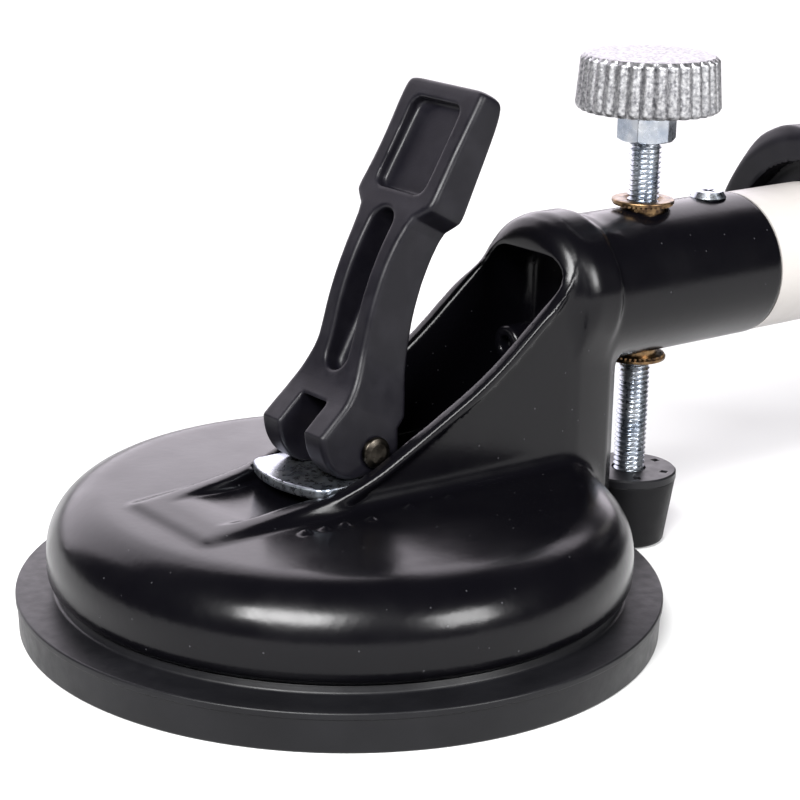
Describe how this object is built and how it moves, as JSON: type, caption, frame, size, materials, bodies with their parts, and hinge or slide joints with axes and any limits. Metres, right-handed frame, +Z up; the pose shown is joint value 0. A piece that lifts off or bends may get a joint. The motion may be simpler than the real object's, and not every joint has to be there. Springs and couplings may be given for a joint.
{
  "type": "suction seam setter",
  "caption": "Two cam-lever suction cups on a telescoping tube, drawn together by a lobed hand nut, each with a levelling screw and rubber foot.",
  "frame": {"origin": "centre of the left cup's pad, on the surface that the pad stands on", "axes": "+X along the tube from the left cup to the right cup, +Z up, away from the surface"},
  "size_m": [0.535, 0.15, 0.125],
  "materials": {
    "black_paint": "glossy black enamel on a sand-cast body",
    "pad_rubber": "smooth matt rubber",
    "plain_steel": "turned steel, lightly worn",
    "zinc_plate": "bright blue-white zinc plating",
    "black_lever": "satin black enamel",
    "yellow_zinc": "yellow passivated zinc plating",
    "cast_aluminium": "tumbled die casting",
    "foot_rubber": "matt rubber",
    "black_plastic": "fine moulded texture",
    "white_paint": "warm white powder coat",
    "spring_steel": "oiled spring steel"
  },
  "bodies": {
    "left_frame": {"left_housing": "black_paint", "left_rubber_pad": "pad_rubber", "left_cam_plate": "zinc_plate", "left_upper_insert": "yellow_zinc", "left_lower_insert": "yellow_zinc", "left_lock_screw": "zinc_plate", "left_tube": "white_paint", "guide_tube": "plain_steel", "thrust_washer": "yellow_zinc", "retaining_ring": "spring_steel"},
    "left_plunger": {"left_core_plate": "plain_steel", "left_pull_stem": "plain_steel", "left_lever_pin": "plain_steel", "left_pin_clip": "zinc_plate"},
    "left_lever": {"left_lever": "black_lever"},
    "left_foot": {"left_foot": "foot_rubber", "left_foot_lid": "black_plastic"},
    "left_screw": {"left_level_screw": "zinc_plate", "left_jam_nut": "zinc_plate", "left_level_knob": "cast_aluminium"},
    "hand_nut": {"hand_nut": "black_plastic"},
    "right_frame": {"right_housing": "black_paint", "right_rubber_pad": "pad_rubber", "right_cam_plate": "zinc_plate", "right_upper_insert": "yellow_zinc", "right_lower_insert": "yellow_zinc", "right_lock_screw": "zinc_plate", "right_tube": "white_paint", "key_screw": "zinc_plate"},
    "right_plunger": {"right_core_plate": "plain_steel", "right_pull_stem": "plain_steel", "right_lever_pin": "plain_steel", "right_pin_clip": "zinc_plate"},
    "right_lever": {"right_lever": "black_lever"},
    "right_foot": {"right_foot": "foot_rubber", "right_foot_lid": "black_plastic"},
    "right_screw": {"right_level_screw": "zinc_plate", "right_jam_nut": "zinc_plate", "right_level_knob": "cast_aluminium"}
  },
  "joints": [
    {"name": "left_plunger_lift", "type": "slide", "parent": "left_frame", "child": "left_plunger", "axis": [0, 0, 1], "range_m": [0, 0.0096]},
    {"name": "left_lever_throw", "type": "hinge", "parent": "left_plunger", "child": "left_lever", "pos_m": [0, 0, 0.0435], "axis": [0, -1, 0], "range_deg": [0, 100]},
    {"name": "left_foot_travel", "type": "slide", "parent": "left_frame", "child": "left_foot", "axis": [0, 0, 1], "range_m": [-0.014, 0.024]},
    {"name": "left_screw_turn", "type": "hinge", "parent": "left_foot", "child": "left_screw", "pos_m": [0.0912, 0, 0.06], "axis": [0, 0, 1], "range_deg": [-4032, 6912]},
    {"name": "hand_nut_turn", "type": "hinge", "parent": "left_frame", "child": "hand_nut", "pos_m": [0.18, 0, 0.069], "axis": [1, 0, 0], "range_deg": [-720, 2400]},
    {"name": "cup_draw", "type": "slide", "parent": "left_frame", "child": "right_frame", "axis": [1, 0, 0], "range_m": [-0.02, 0.006]},
    {"name": "right_plunger_lift", "type": "slide", "parent": "right_frame", "child": "right_plunger", "axis": [0, 0, 1], "range_m": [0, 0.0096]},
    {"name": "right_lever_throw", "type": "hinge", "parent": "right_plunger", "child": "right_lever", "pos_m": [0.385, 0, 0.0435], "axis": [0, 1, 0], "range_deg": [0, 100]},
    {"name": "right_foot_travel", "type": "slide", "parent": "right_frame", "child": "right_foot", "axis": [0, 0, 1], "range_m": [-0.014, 0.024]},
    {"name": "right_screw_turn", "type": "hinge", "parent": "right_foot", "child": "right_screw", "pos_m": [0.2938, 0, 0.06], "axis": [0, 0, 1], "range_deg": [-4032, 6912]}
  ],
  "couplings": [
    {"joint": "left_plunger_lift", "follows": "left_lever_throw", "m_per_rad": 0.0055},
    {"joint": "left_foot_travel", "follows": "left_screw_turn", "m_per_rad": 0.00019894},
    {"joint": "cup_draw", "follows": "hand_nut_turn", "m_per_rad": -0.00047746},
    {"joint": "right_plunger_lift", "follows": "right_lever_throw", "m_per_rad": 0.0055},
    {"joint": "right_foot_travel", "follows": "right_screw_turn", "m_per_rad": 0.00019894}
  ]
}
